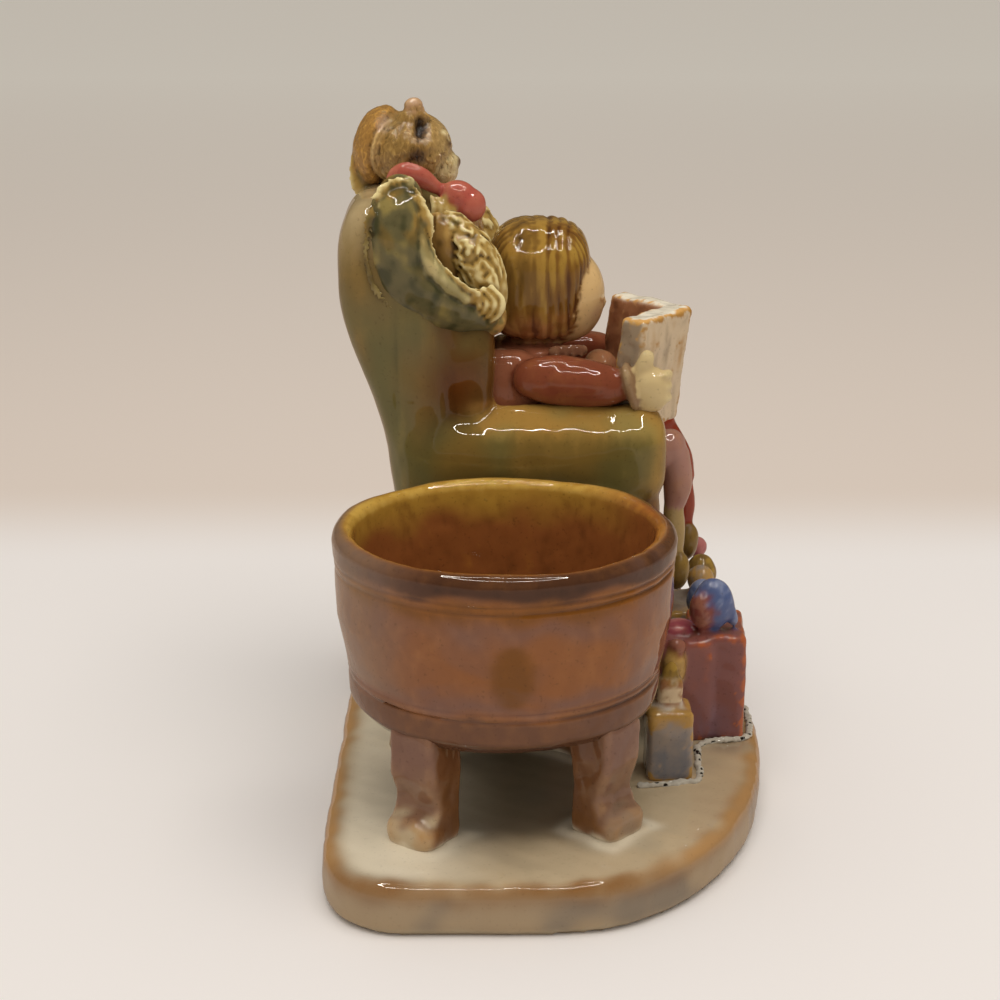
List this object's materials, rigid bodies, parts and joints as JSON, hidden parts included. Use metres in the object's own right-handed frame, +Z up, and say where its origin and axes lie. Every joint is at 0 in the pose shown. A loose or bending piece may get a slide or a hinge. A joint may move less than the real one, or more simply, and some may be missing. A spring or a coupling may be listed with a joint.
{
  "type": "figural candle holder",
  "caption": "Glazed ceramic candle holder: a round hollow tub on legs, with a figure group of a bear and a reading child in an armchair behind it on one low slab",
  "frame": {"origin": "centre of the slab's bounding box, on the plane the slab stands on", "axes": "+Z is up, +X is the way the armchair and the child face, +Y runs along the slab from the candle tub to the armchair"},
  "size_m": [0.108, 0.186, 0.169],
  "materials": {
    "reactive_glaze": "glossy reactive glaze in olive, amber, brown, rose and cream on stoneware"
  },
  "bodies": {
    "root": {"figure_group": "reactive_glaze"}
  },
  "joints": []
}
